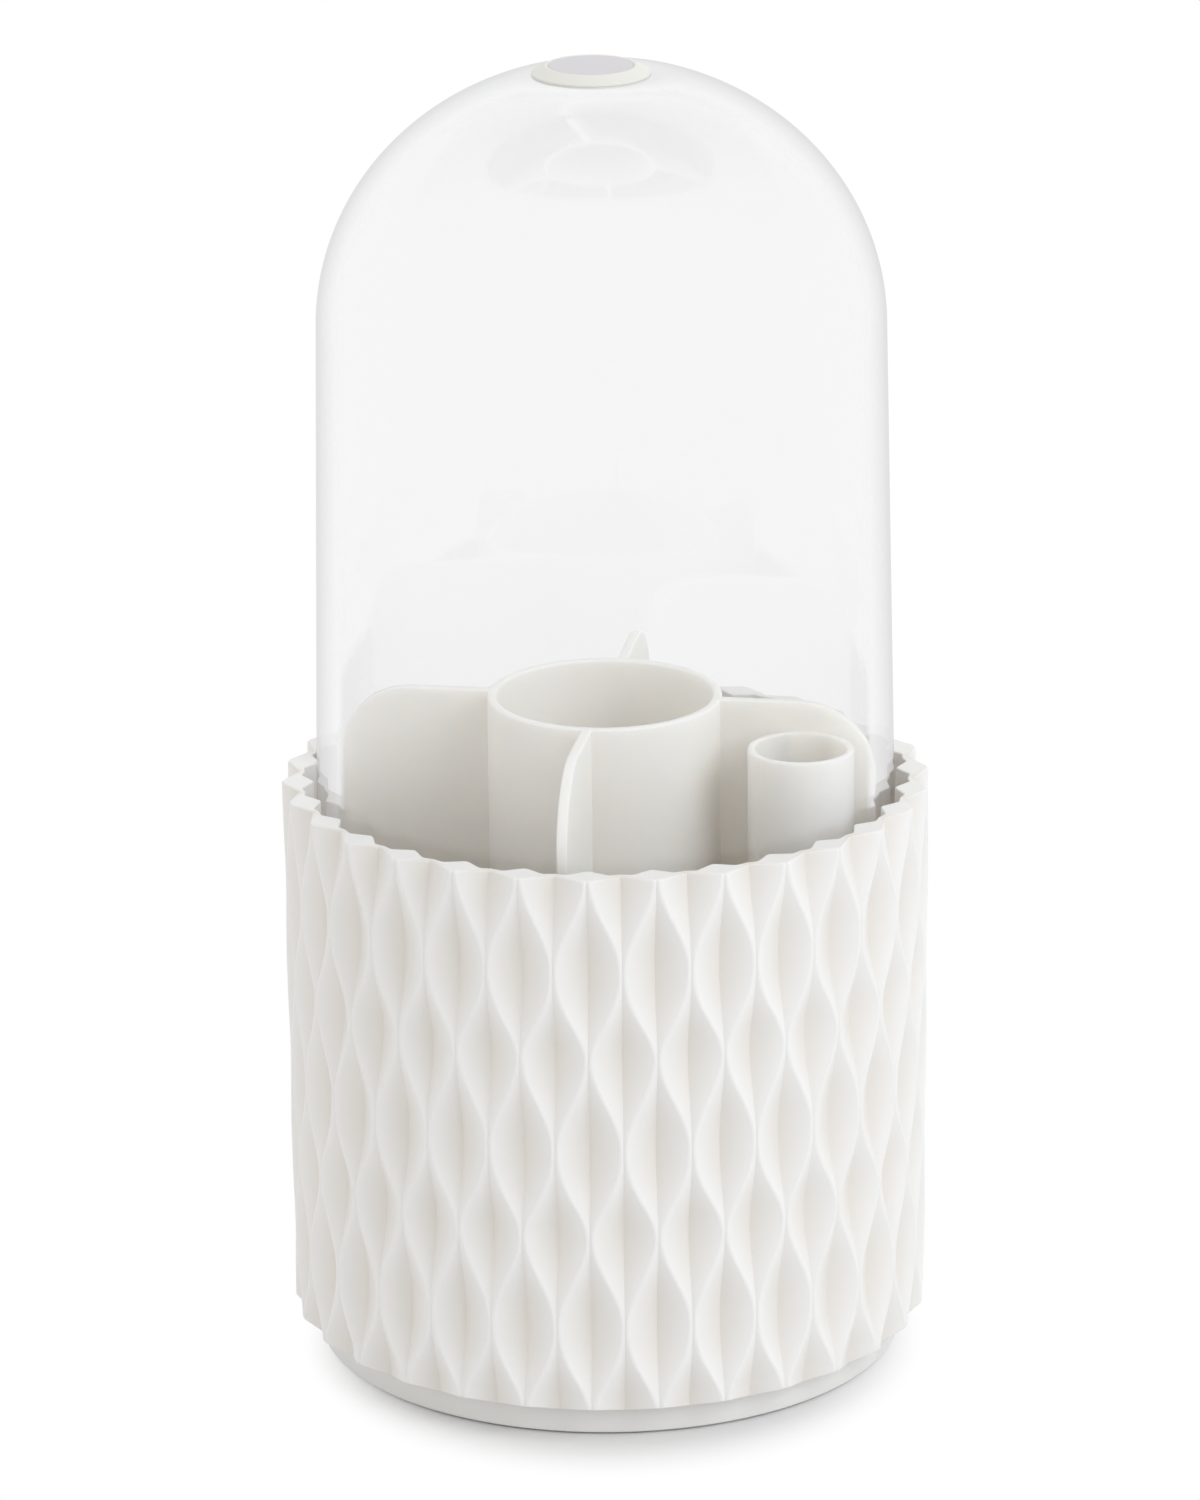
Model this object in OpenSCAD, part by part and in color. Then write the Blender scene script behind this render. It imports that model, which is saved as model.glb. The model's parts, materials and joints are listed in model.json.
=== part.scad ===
// Rotating makeup organizer: a relief tub on a ball-bearing foot, with a lift-out
// divider and a clear dome lid. Millimetres, +Z up, origin on the table under the
// pivot. Angles run anticlockwise from +X, and the front faces -Y.

/* [Tub] */
// Radius of the relief's crests at the rim
tub_rim_r = 70; // [64:0.5:80]
// Amount by which the crests stand further in at the relief's lower edge
tub_taper = 0.5; // [0:0.1:1.5]
// Height of the rim above the table
rim_z = 127.4; // [100:0.2:150]
// Height of the relief's lower edge above the table
relief_z = 8.1; // [7:0.1:10]
// Depth of the ledge that the dome stands on, below the rim
ledge_drop = 12.4; // [8:0.2:20]
// Depth of the hollows between the ribs, above the ledge
hollow_depth = 2.7; // [1.5:0.1:2.8]
// Amount by which the middle of a hollow swells inwards, behind its open leaf
hollow_swell = 0.6; // [0:0.1:1]
// Thickness of the tub at a rib, from a crest inwards
rib_wall = 7; // [6.8:0.1:9]
// Thickness of the tub round the foot, from a crest inwards
skirt_wall = 5.1; // [4.8:0.1:6]
// Width of the ledge at a rib
ledge_w = 3; // [2.2:0.1:5]

/* [Relief] */
// Nodes round the rim, each with one open and one closed leaf column
leaf_pairs = 30; // [20:1:36]
// Leaves one above another in each column
leaf_rows = 3; // [2:1:4]
// Depth of a leaf at its middle
leaf_depth = 3.5; // [1:0.1:3.6]
// Share of its column that a closed leaf still takes
leaf_gap = 0.08; // [0.05:0.01:0.2]
// Fullness of a leaf's lower half, 1 for the same curve as in its upper half
leaf_belly = 1.3; // [1:0.05:1.5]
// Height by which the relief's lower edge cuts the lowest leaves short
leaf_cut = 0.9; // [0:0.1:2]
// Drop of the lower edge at the middle of an open leaf
leaf_drop = 1.5; // [0:0.1:2]
// Angle of the first node on the rim
leaf_turn = 2.55; // [0:0.05:12]
// Rings of points in one leaf's height
leaf_steps = 8; // [6:2:10]

/* [Dome] */
// Gap between the dome and the tub's ribs, at the ledge
dome_gap = 0.35; // [0.3:0.05:0.8]
// Taper of the dome's straight side, as a share of its height
dome_taper = 0.019; // [0.01:0.001:0.024]
// Height at which the crown's curve starts
crown_z = 228; // [200:1:250]
// Height of the crown's curve, before its top is flattened
crown_rise = 56.3; // [50:0.1:70]
// Wall of the dome
dome_wall = 1.6; // [1.2:0.1:1.8]
// Radius of the flat on top, where the badge sits
seat_r = 16; // [15.8:0.1:18]

/* [Badge] */
// Radius of the badge's foot
badge_r = 12.6; // [12:0.1:13.6]
// Thickness of the badge
badge_t = 1.8; // [1.4:0.1:2.4]
// Width of the badge's sloped rim
badge_slope_w = 2.9; // [2:0.1:4]
// Width of the flat lip round the inlaid disc
inlay_lip_w = 0.7; // [0.3:0.1:1]
// Thickness of the inlaid disc
inlay_t = 0.6; // [0.4:0.1:0.8]
// Distance by which the badge sits off the dome's axis
badge_off = 1.7; // [0:0.1:2]

/* [Divider] */
// Thickness of the divider's floor
divider_floor_t = 2; // [1.5:0.1:3]
// Height of the divider's walls above the table
divider_z = 146; // [135:0.5:170]
// Outer radius of the centre cup
cup_r = 25.3; // [20:0.1:26]
// Wall of the centre cup
cup_wall = 2; // [1.5:0.1:3]
// Thickness of the radial walls
vane_t = 2.3; // [1.6:0.1:3]
// Number of radial walls
vane_count = 4; // [4:1:4]
// Radius of the rounded top corner of each radial wall
vane_corner_r = 16.5; // [5:0.5:25]
// Angle of the radial wall on the right
vane_turn = -9; // [-12:1:-4]
// Outer radius of the lipstick cup
stick_r = 11.2; // [9:0.1:11.4]
// Wall of the lipstick cup
stick_wall = 1.5; // [1.2:0.1:2]
// Height of the lipstick cup above the table
stick_z = 139.4; // [110:0.1:145]
// Distance between the lipstick cup and the divider's edge
stick_inset = 2.9; // [2.2:0.1:4]

/* [Foot] */
// Gap between the foot and the tub
skirt_gap = 0.7; // [0.4:0.1:1.5]
// Gap between the foot and the table
foot_gap = 0.4; // [0.3:0.1:1]
// Thickness of the foot's floor
foot_floor_t = 2.8; // [2.2:0.1:3]
// Wall of the foot's rim
foot_wall = 2; // [1.5:0.1:3]
// Radius of the foot's lower edge
foot_edge_r = 0.5; // [0.4:0.1:1.4]
// Radius of a rubber pad
pad_r = 5; // [4:0.1:6]
// Number of rubber pads
pad_count = 4; // [3:1:6]

/* [Turntable] */
// Diameter of a bearing ball
ball_d = 6; // [5:0.1:6.4]
// Number of bearing balls
ball_count = 12; // [8:1:20]
// Width of the two races
race_w = 10; // [8:0.5:11]
// Thickness of the ball cage
cage_t = 1.5; // [1:0.1:2]
// Gap between the turntable plate and the foot's rim
plate_gap = 7.7; // [3:0.1:9]
// Width of the turntable plate outside its race
plate_edge = 3; // [1:0.1:5]
// Thickness of the turntable plate
plate_t = 2.5; // [2.2:0.1:3]
// Thickness of the plate that closes the tub
tub_floor_t = 2.5; // [2:0.1:3]
// Radius of the pivot boss
pivot_r = 6; // [5:0.1:7]

/* [Screws] */
// Radius of the turntable screws' shanks
plate_screw_r = 1.4; // [1.2:0.1:1.6]
// Number of turntable screws
plate_screw_count = 4; // [3:1:6]
// Distance of the turntable screws from the axis
plate_screw_dist = 30; // [24:0.5:34]
// Radius of the pivot screw's shank
pivot_screw_r = 1.9; // [1.5:0.1:2.2]

/* [Hidden] */
$fn = 96;

// Clearances
run_fit = 0.06;
ball_fit = 0.08;
thread_fit = 0.05;
pocket_fit = 0.1;
floor_fit = 0.2;
divider_fit = 0.6;
screw_fit = 0.2;
hole_spare = 0.4;
cut = 1;

// Radii that follow from the tub's, from the outside in
tub_base_r = tub_rim_r - tub_taper;
skirt_r = tub_base_r - skirt_wall;
foot_r = skirt_r - skirt_gap;
foot_inner_r = foot_r - foot_wall;
plate_r = foot_inner_r - plate_gap;
race_r = plate_r - plate_edge - race_w / 2;
tip_r = tub_rim_r - rib_wall;
hollow_r = tip_r + hollow_depth;
rib_r = tip_r - ledge_w;
divider_r = rib_r - divider_fit;
stick_dist = divider_r - stick_inset - stick_r;
dome_foot_r = tip_r - dome_gap;

// Heights of the turntable, from the table up
foot_lap = 3;
foot_floor_z = foot_gap + foot_floor_t;
foot_rim_z = relief_z + foot_lap;
ball_r = ball_d / 2;
groove_r = ball_r + ball_fit;
race_gap = 0.55 * ball_d;
race_bed = 2;
race_lip = 0.5;
cage_inset = 1;
ball_z = foot_floor_z + race_bed + groove_r;
lower_race_z = ball_z - race_gap / 2;
upper_race_z = ball_z + race_gap / 2;
plate_z = upper_race_z + race_lip;
plate_top_z = plate_z + plate_t;

// Pivot, from the table up
hub_wall = 6;
hub_h = 5.8;
shoulder_h = 1.4;
shoulder_z = foot_floor_z + shoulder_h;
pivot_end_z = shoulder_z - run_fit;
washer_t = 1;
washer_rim = 2.8;
washer_r = pivot_r + washer_rim;
washer_z = pivot_end_z - washer_t;
washer_room = 0.4;
pivot_head_h = 1.9;
pivot_head_r = 2 * pivot_screw_r;
pivot_screw_l = 8;
pivot_hole_l = pivot_screw_l - washer_t + hole_spare;

// Turntable screws and their bosses
boss_h = 5.3;
boss_wall = 2.6;
boss_r = plate_screw_r + boss_wall;
screw_head_h = 1.6;
screw_head_r = 2.1 * plate_screw_r;
screw_grip = 4.4;
screw_l = plate_t + screw_grip;
screw_hole_l = screw_grip + hole_spare;
drive_slot = 0.35;
drive_depth = 0.5;

// Tub and its floor
floor_z = plate_top_z + boss_h;
inside_z = floor_z + tub_floor_t;
rib_foot_lap = 0.4;
rib_flank = 0.64;
floor_rib_t = 1.5;
floor_rib_h = 3;
floor_rib_gap = 1;
ledge_z = rim_z - ledge_drop;

// Relief
columns = 2 * leaf_pairs;
pitch = 360 / columns;
points_round = 2 * columns;
relief_h = rim_z - relief_z;
leaf_h = (relief_h + leaf_cut) / leaf_rows;
relief_steps = leaf_rows * leaf_steps;

// Dome
crown_r = dome_foot_r - dome_taper * (crown_z - ledge_z);
crown_steps = 36;
seat_z = crown_z + crown_rise * sin(acos(seat_r / crown_r));
under_seat_z = seat_z - dome_wall;
dome_edge = 0.3;
badge_edge = 0.4;
badge_top_r = badge_r - badge_slope_w;
inlay_r = badge_top_r - inlay_lip_w;

// Divider
vane_inset = 0.6;
vane_r = divider_r - vane_inset;
vane_root = cup_r - cup_wall / 2;
root_z = inside_z + divider_floor_t / 2;
corner_steps = 20;
stick_lap = 0.8;
stick_turn = vane_turn - asin((stick_r + vane_t / 2 - stick_lap) / stick_dist);

// Pads
pad_inset = 4;
pad_dist = foot_inner_r - pad_inset - pad_r;
pad_depth = 1.4;
pad_edge = 0.4;

// Relief of leaves: columns with an even number are closed at the rim
function column_angle(i) = leaf_turn + pitch * i;
function crest_r(z) = tub_base_r + (tub_rim_r - tub_base_r) * (z - relief_z) / relief_h;
function leaf_side(i) = i % 2 == 0 ? 1 : -1;
function leaf_share(z) =
    let (leaves = (rim_z - z) / leaf_h, share = leaves - floor(leaves))
    share < 0.5 ? share : 0.5 + 0.5 * pow(2 * share - 1, leaf_belly);
function openness(i, z) =
    leaf_gap + (0.5 - leaf_gap) * (1 - leaf_side(i) * cos(360 * leaf_share(z)));
function polar(r, a, z) = [r * cos(a), r * sin(a), z];
function edge_drop(i, z) = z > relief_z ? 0 : leaf_drop * openness(i, z);
function valley_point(i, z) =
    polar(crest_r(z) - leaf_depth * openness(i, z), column_angle(i), z - edge_drop(i, z));
function crest_point(i, z) =
    polar(crest_r(z), column_angle(i) + pitch * openness(i, z), z);
function relief_ring(z) =
    [for (i = [0 : columns - 1]) each [valley_point(i, z), crest_point(i, z)]];
function ring_z(k) = k == relief_steps ? relief_z : rim_z - leaf_h * k / leaf_steps;

// A ring inside the tub, with a rib behind each closed column and a hollow behind each
// open one
function star_ring(rib, hollow, swell, z) =
    [for (i = [0 : columns - 1]) each i % 2 == 0
        ? [polar(rib, column_angle(i), z),
            polar(hollow, column_angle(i + rib_flank), z)]
        : [polar(hollow - swell, column_angle(i), z),
            polar(hollow, column_angle(i + 1 - rib_flank), z)]];

// Triangles of a closed loop of rings, each with the same number of points. The
// diagonals of a leaf's two flanks mirror each other.
function loop_faces(rings, points) =
    [for (k = [0 : rings - 1], i = [0 : points - 1])
        let (j = (i + 1) % points,
            low = k * points,
            high = ((k + 1) % rings) * points)
        each i % 2 == 0
            ? [[low + i, high + i, high + j], [low + i, high + j, low + j]]
            : [[low + i, high + i, low + j], [low + j, high + i, high + j]]];

module around(count, dist, turn = 0) {
    for (i = [0 : count - 1])
        rotate(turn + 360 * i / count) translate([dist, 0, 0]) children();
}

module ring_solid(inner, outer, z0, z1) {
    translate([0, 0, z0]) difference() {
        cylinder(h = z1 - z0, r = outer);
        translate([0, 0, -cut]) cylinder(h = z1 - z0 + 2 * cut, r = inner);
    }
}

module ball_groove() {
    translate([0, 0, ball_z])
        rotate_extrude() translate([race_r, 0]) circle(r = groove_r);
}

// A pan-head screw that points up, with its head's top face at z = 0
module pan_screw(head_r, head_h, shank_r, shank_l) {
    difference() {
        union() {
            translate([0, 0, -head_h]) cylinder(h = head_h * 0.45, r1 = head_r * 0.8, r2 = head_r);
            translate([0, 0, -head_h * 0.55]) cylinder(h = head_h * 0.55, r = head_r);
            cylinder(h = shank_l - shank_r, r = shank_r);
            translate([0, 0, shank_l - shank_r])
                cylinder(h = shank_r, r1 = shank_r, r2 = shank_r * 0.35);
        }
        for (turn = [0, 90])
            rotate(turn)
                translate([-head_r * 0.6, -drive_slot, -head_h - cut])
                    cube([head_r * 1.2, 2 * drive_slot, cut + drive_depth * head_h]);
    }
}

module tub() {
    outer = [for (k = [relief_steps : -1 : 0]) relief_ring(ring_z(k))];
    inner = [
        star_ring(tip_r, hollow_r, hollow_swell, rim_z),
        star_ring(tip_r, hollow_r, hollow_swell, ledge_z),
        star_ring(rib_r, skirt_r - rib_foot_lap, hollow_swell, ledge_z),
        star_ring(rib_r, skirt_r - rib_foot_lap, hollow_swell, inside_z),
        star_ring(skirt_r, skirt_r, 0, inside_z),
        star_ring(skirt_r, skirt_r, 0, relief_z)];
    rings = concat(outer, inner);
    color("white")
        polyhedron([for (ring = rings) each ring], loop_faces(len(rings), points_round));
}

module tub_floor() {
    color("whitesmoke") difference() {
        union() {
            translate([0, 0, floor_z]) cylinder(h = tub_floor_t, r = skirt_r - floor_fit);
            around(plate_screw_count, plate_screw_dist)
                translate([0, 0, plate_top_z]) cylinder(h = boss_h + cut, r = boss_r);
            around(plate_screw_count, 0)
                translate([plate_screw_dist, -floor_rib_t / 2, floor_z - floor_rib_h])
                    cube([skirt_r - floor_fit - floor_rib_gap - plate_screw_dist, floor_rib_t,
                        floor_rib_h + cut]);
        }
        around(plate_screw_count, plate_screw_dist)
            translate([0, 0, plate_top_z - cut])
                cylinder(h = screw_hole_l + cut, r = plate_screw_r + thread_fit);
    }
}

module turntable_plate() {
    color("whitesmoke") difference() {
        union() {
            translate([0, 0, plate_z]) cylinder(h = plate_t, r = plate_r);
            ring_solid(race_r - race_w / 2, race_r + race_w / 2, upper_race_z, plate_z + cut);
            translate([0, 0, pivot_end_z]) cylinder(h = plate_z - pivot_end_z + cut, r = pivot_r);
        }
        ball_groove();
        around(plate_screw_count, plate_screw_dist)
            translate([0, 0, plate_z - cut])
                cylinder(h = plate_t + 2 * cut, r = plate_screw_r + screw_fit);
        translate([0, 0, pivot_end_z - cut])
            cylinder(h = pivot_hole_l + cut, r = pivot_screw_r + thread_fit);
    }
}

module plate_screws() {
    color("silver") around(plate_screw_count, plate_screw_dist)
        translate([0, 0, plate_z])
            pan_screw(screw_head_r, screw_head_h, plate_screw_r, screw_l);
}

module pivot_screw() {
    color("silver") translate([0, 0, washer_z])
        pan_screw(pivot_head_r, pivot_head_h, pivot_screw_r, pivot_screw_l);
}

module pivot_washer() {
    color("lightgray")
        ring_solid(pivot_screw_r + screw_fit, washer_r, washer_z, pivot_end_z);
}

module ball_cage() {
    color("gainsboro") difference() {
        ring_solid(race_r - race_w / 2 + cage_inset, race_r + race_w / 2 - cage_inset,
            ball_z - cage_t / 2, ball_z + cage_t / 2);
        around(ball_count, race_r)
            translate([0, 0, ball_z - cage_t]) cylinder(h = 2 * cage_t, r = ball_r + pocket_fit);
    }
}

module bearing_balls() {
    color("silver") around(ball_count, race_r)
        translate([0, 0, ball_z]) sphere(r = ball_r);
}

module base_foot() {
    color("whitesmoke") difference() {
        union() {
            rotate_extrude() difference() {
                union() {
                    translate([0, foot_gap]) square([foot_r - foot_edge_r, foot_rim_z - foot_gap]);
                    translate([0, foot_gap + foot_edge_r])
                        square([foot_r, foot_rim_z - foot_gap - foot_edge_r]);
                    translate([foot_r - foot_edge_r, foot_gap + foot_edge_r])
                        circle(r = foot_edge_r);
                }
                translate([-cut, foot_floor_z])
                    square([foot_inner_r + cut, foot_rim_z]);
            }
            ring_solid(race_r - race_w / 2, race_r + race_w / 2, foot_floor_z - cut, lower_race_z);
            translate([0, 0, foot_gap]) cylinder(h = foot_floor_t + hub_h, r = pivot_r + hub_wall);
        }
        ball_groove();
        translate([0, 0, foot_gap - cut])
            cylinder(h = foot_floor_t + hub_h + 2 * cut, r = pivot_r + run_fit);
        translate([0, 0, foot_gap - cut])
            cylinder(h = shoulder_z - foot_gap + cut, r = washer_r + washer_room);
        around(pad_count, pad_dist, 45)
            translate([0, 0, foot_gap - cut])
                cylinder(h = pad_depth + cut, r = pad_r + pocket_fit);
    }
}

module foot_pads() {
    color("lightgray") around(pad_count, pad_dist, 45) {
        cylinder(h = pad_edge, r1 = pad_r - pad_edge, r2 = pad_r);
        translate([0, 0, pad_edge])
            cylinder(h = foot_gap + pad_depth - pad_edge, r = pad_r);
    }
}

module vane() {
    corner = [vane_r - vane_corner_r, divider_z - vane_corner_r];
    translate([0, vane_t / 2, 0]) rotate([90, 0, 0]) linear_extrude(vane_t)
        polygon(concat(
            [[vane_root, root_z], [vane_r, root_z]],
            [for (k = [0 : corner_steps])
                corner + vane_corner_r * [cos(90 * k / corner_steps), sin(90 * k / corner_steps)]],
            [[vane_root, divider_z]]));
}

module insert() {
    color("ivory") difference() {
        union() {
            translate([0, 0, inside_z]) cylinder(h = divider_floor_t, r = divider_r);
            translate([0, 0, root_z]) cylinder(h = divider_z - root_z, r = cup_r);
            for (i = [0 : vane_count - 1]) rotate(vane_turn + 360 * i / vane_count) vane();
            rotate(stick_turn) translate([stick_dist, 0, root_z])
                cylinder(h = stick_z - root_z, r = stick_r);
        }
        translate([0, 0, inside_z + divider_floor_t])
            cylinder(h = divider_z, r = cup_r - cup_wall);
        rotate(stick_turn) translate([stick_dist, 0, inside_z + divider_floor_t])
            cylinder(h = divider_z, r = stick_r - stick_wall);
    }
}

function crown(wall, top_z) =
    let (rise = crown_rise - wall, last = asin((top_z - crown_z) / rise))
    [for (k = [0 : crown_steps])
        [(crown_r - wall) * cos(last * k / crown_steps),
            crown_z + rise * sin(last * k / crown_steps)]];

module dome() {
    inner = crown(dome_wall, under_seat_z);
    color("azure", 0.25) rotate_extrude() polygon(concat(
        [[dome_foot_r - dome_edge, ledge_z], [dome_foot_r, ledge_z + dome_edge]],
        crown(0, seat_z),
        [[0, seat_z], [0, under_seat_z]],
        [for (k = [crown_steps : -1 : 0]) inner[k]],
        [[dome_foot_r - dome_wall, ledge_z]]));
}

module badge_base() {
    color("linen") translate([-badge_off, 0, seat_z]) difference() {
        rotate_extrude() polygon([[0, 0], [badge_r, 0], [badge_r, badge_edge],
            [badge_top_r, badge_t], [0, badge_t]]);
        translate([0, 0, badge_t - inlay_t]) cylinder(h = inlay_t + cut, r = inlay_r + thread_fit);
    }
}

module badge_inlay() {
    color("lavender") translate([-badge_off, 0, seat_z + badge_t - inlay_t])
        cylinder(h = inlay_t, r = inlay_r);
}

tub();
tub_floor();
turntable_plate();
plate_screws();
pivot_screw();
pivot_washer();
ball_cage();
bearing_balls();
base_foot();
foot_pads();
insert();
dome();
badge_base();
badge_inlay();
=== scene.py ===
"""Looks of a rotating makeup organizer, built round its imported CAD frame.

A tub with a relief of leaves turns on a ball-bearing foot. It holds a lift-out divider
and is closed by a clear dome with a badge. Sizes in the classes are millimetres; meshes
are made in metres, in the frame's own place.
"""

import json
import logging
import math
from contextlib import contextmanager
from dataclasses import dataclass
from enum import Enum
from typing import Iterator, Optional, Sequence

import bmesh
import bpy
import numpy as np
from mathutils import Matrix, Vector

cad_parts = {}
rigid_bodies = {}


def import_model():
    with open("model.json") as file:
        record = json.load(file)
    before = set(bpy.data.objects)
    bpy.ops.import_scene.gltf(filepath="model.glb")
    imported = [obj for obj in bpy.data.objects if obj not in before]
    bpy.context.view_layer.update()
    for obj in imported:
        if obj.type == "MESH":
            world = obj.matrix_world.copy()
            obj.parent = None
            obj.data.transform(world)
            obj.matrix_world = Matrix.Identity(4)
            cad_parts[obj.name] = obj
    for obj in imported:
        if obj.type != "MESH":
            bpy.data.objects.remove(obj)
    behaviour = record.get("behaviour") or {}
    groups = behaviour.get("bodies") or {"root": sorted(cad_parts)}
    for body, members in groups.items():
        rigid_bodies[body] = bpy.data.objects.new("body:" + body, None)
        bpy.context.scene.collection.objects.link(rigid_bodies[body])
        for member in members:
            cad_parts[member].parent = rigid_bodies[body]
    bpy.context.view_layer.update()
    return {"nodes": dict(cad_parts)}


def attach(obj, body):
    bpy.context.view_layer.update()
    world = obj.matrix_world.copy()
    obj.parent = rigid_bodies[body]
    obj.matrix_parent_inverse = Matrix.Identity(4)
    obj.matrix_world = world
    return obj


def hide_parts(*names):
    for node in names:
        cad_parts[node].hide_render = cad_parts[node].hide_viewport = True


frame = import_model()

MM = 0.001
NEAR = 1e-6
Colour = tuple[float, float, float]
Corner = tuple[float, float, float]
Piece = bpy.types.Object
Node = bpy.types.Node
Socket = bpy.types.NodeSocket

log = logging.getLogger("organizer")


class Body(Enum):
    """The bodies of the frame that the new pieces ride on."""

    BASE = "base"
    TUB = "tub"
    DIVIDER = "divider"
    LID = "lid"


# Bench tools


def only(*pieces: Piece) -> None:
    """Selects these objects and nothing else, the first one active.

    Args:
        pieces: The objects to select, or none to clear the selection.
    """
    for other in bpy.context.view_layer.objects:
        other.select_set(other in pieces)
    bpy.context.view_layer.objects.active = pieces[0] if pieces else None


@contextmanager
def editing(piece: Piece) -> Iterator[bmesh.types.BMesh]:
    """Opens a piece in edit mode.

    Args:
        piece: The object whose mesh is shaped.

    Yields:
        The edit mesh, to select parts of it by their place.
    """
    only(piece)
    bpy.ops.object.mode_set(mode="EDIT")
    try:
        yield bmesh.from_edit_mesh(piece.data)
    finally:
        bpy.ops.object.mode_set(mode="OBJECT")


def named(piece: Piece, name: str) -> Piece:
    """Gives an object and its mesh the same name and returns the object."""
    piece.name = piece.data.name = name
    return piece


def near(values: Sequence[float], aim: float) -> bool:
    """Tells if all of these places lie within a micrometre of one."""
    return all(abs(value - aim) < NEAR for value in values)


def weld(piece: Piece, distance: float = 0.001) -> None:
    """Merges a piece's doubled points and turns its faces outwards.

    Args:
        piece: The piece.
        distance: How far apart doubled points may lie, in millimetres.
    """
    with editing(piece):
        bpy.ops.mesh.select_all(action="SELECT")
        bpy.ops.mesh.remove_doubles(threshold=distance * MM)
        bpy.ops.mesh.normals_make_consistent(inside=False)


def apply(piece: Piece, kind: str, **settings: object) -> None:
    """Adds a modifier to a piece and applies it.

    Args:
        piece: The piece.
        kind: The modifier's type.
        settings: Its settings.
    """
    only(piece)
    modifier = piece.modifiers.new(kind.title(), kind)
    for key, value in settings.items():
        setattr(modifier, key, value)
    bpy.ops.object.modifier_apply(modifier=modifier.name)


def smooth(piece: Piece, angle: float = 30.0) -> None:
    """Shades a piece smooth up to an angle, and keeps its large faces flat.

    Args:
        piece: The object to shade.
        angle: The sharpest angle in degrees that still looks rounded.
    """
    only(piece)
    bpy.ops.object.shade_smooth_by_angle(angle=math.radians(angle))
    apply(piece, "WEIGHTED_NORMAL", mode="FACE_AREA", keep_sharp=True)


def combine(piece: Piece, other: Piece, how: str) -> None:
    """Joins a second solid to a piece or cuts it out, and removes the second one.

    Args:
        piece: The solid that stays.
        other: The solid that is added or cut.
        how: UNION or DIFFERENCE.
    """
    apply(piece, "BOOLEAN", operation=how, solver="EXACT", object=other)
    bpy.data.objects.remove(other)


def copied(piece: Piece) -> Piece:
    """Copies a piece with its own mesh.

    Args:
        piece: The object to copy.

    Returns:
        The copy.
    """
    copy = piece.copy()
    copy.data = piece.data.copy()
    bpy.context.collection.objects.link(copy)
    return copy


def placed(piece: Piece, angle: float, shift: Corner = (0, 0, 0)) -> Piece:
    """Moves a piece in its mesh, and then turns it about the axis.

    Args:
        piece: The object to place.
        angle: The turn about +Z in degrees.
        shift: The move in millimetres, made before the turn.

    Returns:
        The piece.
    """
    move = Matrix.Translation(Vector(shift) * MM)
    piece.data.transform(Matrix.Rotation(math.radians(angle), 4, "Z") @ move)
    return piece


def spots(piece: Piece) -> np.ndarray:
    """Reads the places of a piece's points.

    Args:
        piece: The piece.

    Returns:
        One row for each point, in metres.
    """
    places = np.zeros(len(piece.data.vertices) * 3)
    piece.data.vertices.foreach_get("co", places)
    return places.reshape(-1, 3)


def mark_painted_shade(piece: Piece, shade_levels: np.ndarray) -> None:
    """Notes the painted shade of each point from 0 to 1: a warmer, darker colour painted into
    hollows.
    """
    hollow = piece.data.attributes.new("hollow", "FLOAT", "POINT")
    hollow.data.foreach_set("value", shade_levels.astype(np.float32))


def polar(radius: float, degrees: float) -> np.ndarray:
    """Finds the point at a radius and an angle in the plane."""
    turn = math.radians(degrees)
    return np.array((radius * math.cos(turn), radius * math.sin(turn)))


def rounded(corners: Sequence[Corner], steps: int) -> list[tuple[float, float]]:
    """Rounds the corners of a closed outline.

    Args:
        corners: Points of the outline, each with the radius of its rounding.
        steps: Segments in each rounding.

    Returns:
        The points of the outline.
    """
    points: list[tuple[float, float]] = []
    for index, (x, y, radius) in enumerate(corners):
        here = np.array((x, y))
        if radius <= 0:
            points.append((x, y))
            continue
        before = np.array(corners[index - 1][:2]) - here
        after = np.array(corners[(index + 1) % len(corners)][:2]) - here
        before, after = before / np.linalg.norm(before), after / np.linalg.norm(after)
        half = math.acos(float(np.clip(before @ after, -1, 1))) / 2
        middle = (before + after) / np.linalg.norm(before + after)
        centre = here + middle * radius / math.sin(half)
        start = here + before * radius / math.tan(half) - centre
        sweep = math.pi - 2 * half
        side = 1 if before[0] * after[1] - before[1] * after[0] < 0 else -1
        for step in range(steps + 1):
            turn = side * sweep * step / steps
            c, s = math.cos(turn), math.sin(turn)
            across = centre[0] + c * start[0] - s * start[1]
            up = centre[1] + s * start[0] + c * start[1]
            points.append((across, up))
    return points


def lathe(name: str, corners: Sequence[Corner], steps: int, round_steps: int = 4) -> Piece:
    """Turns a closed half outline about the Z axis into a solid.

    Args:
        name: The name of the new object.
        corners: Radius, height and rounding of each corner, in millimetres.
        steps: Segments round the axis.
        round_steps: Segments in each rounding.

    Returns:
        The turned object.
    """
    outline = rounded(corners, round_steps)
    only()
    bpy.ops.mesh.primitive_circle_add(vertices=len(outline), radius=MM, fill_type="NOTHING")
    piece = named(bpy.context.object, name)
    for point, (radius, height) in zip(piece.data.vertices, outline):
        point.co = (radius * MM, 0.0, height * MM)
    with editing(piece) as mesh:
        on_axis = [edge for edge in mesh.edges if near([v.co.x for v in edge.verts], 0.0)]
        for edge in mesh.edges:
            edge.select_set(edge in on_axis)
        if on_axis:
            bpy.ops.mesh.delete(type="EDGE_FACE")
        bpy.ops.mesh.select_all(action="SELECT")
        bpy.ops.mesh.spin(steps=steps, angle=math.tau, center=(0, 0, 0), axis=(0, 0, 1))
    weld(piece)
    return piece


# Shader groups


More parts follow.
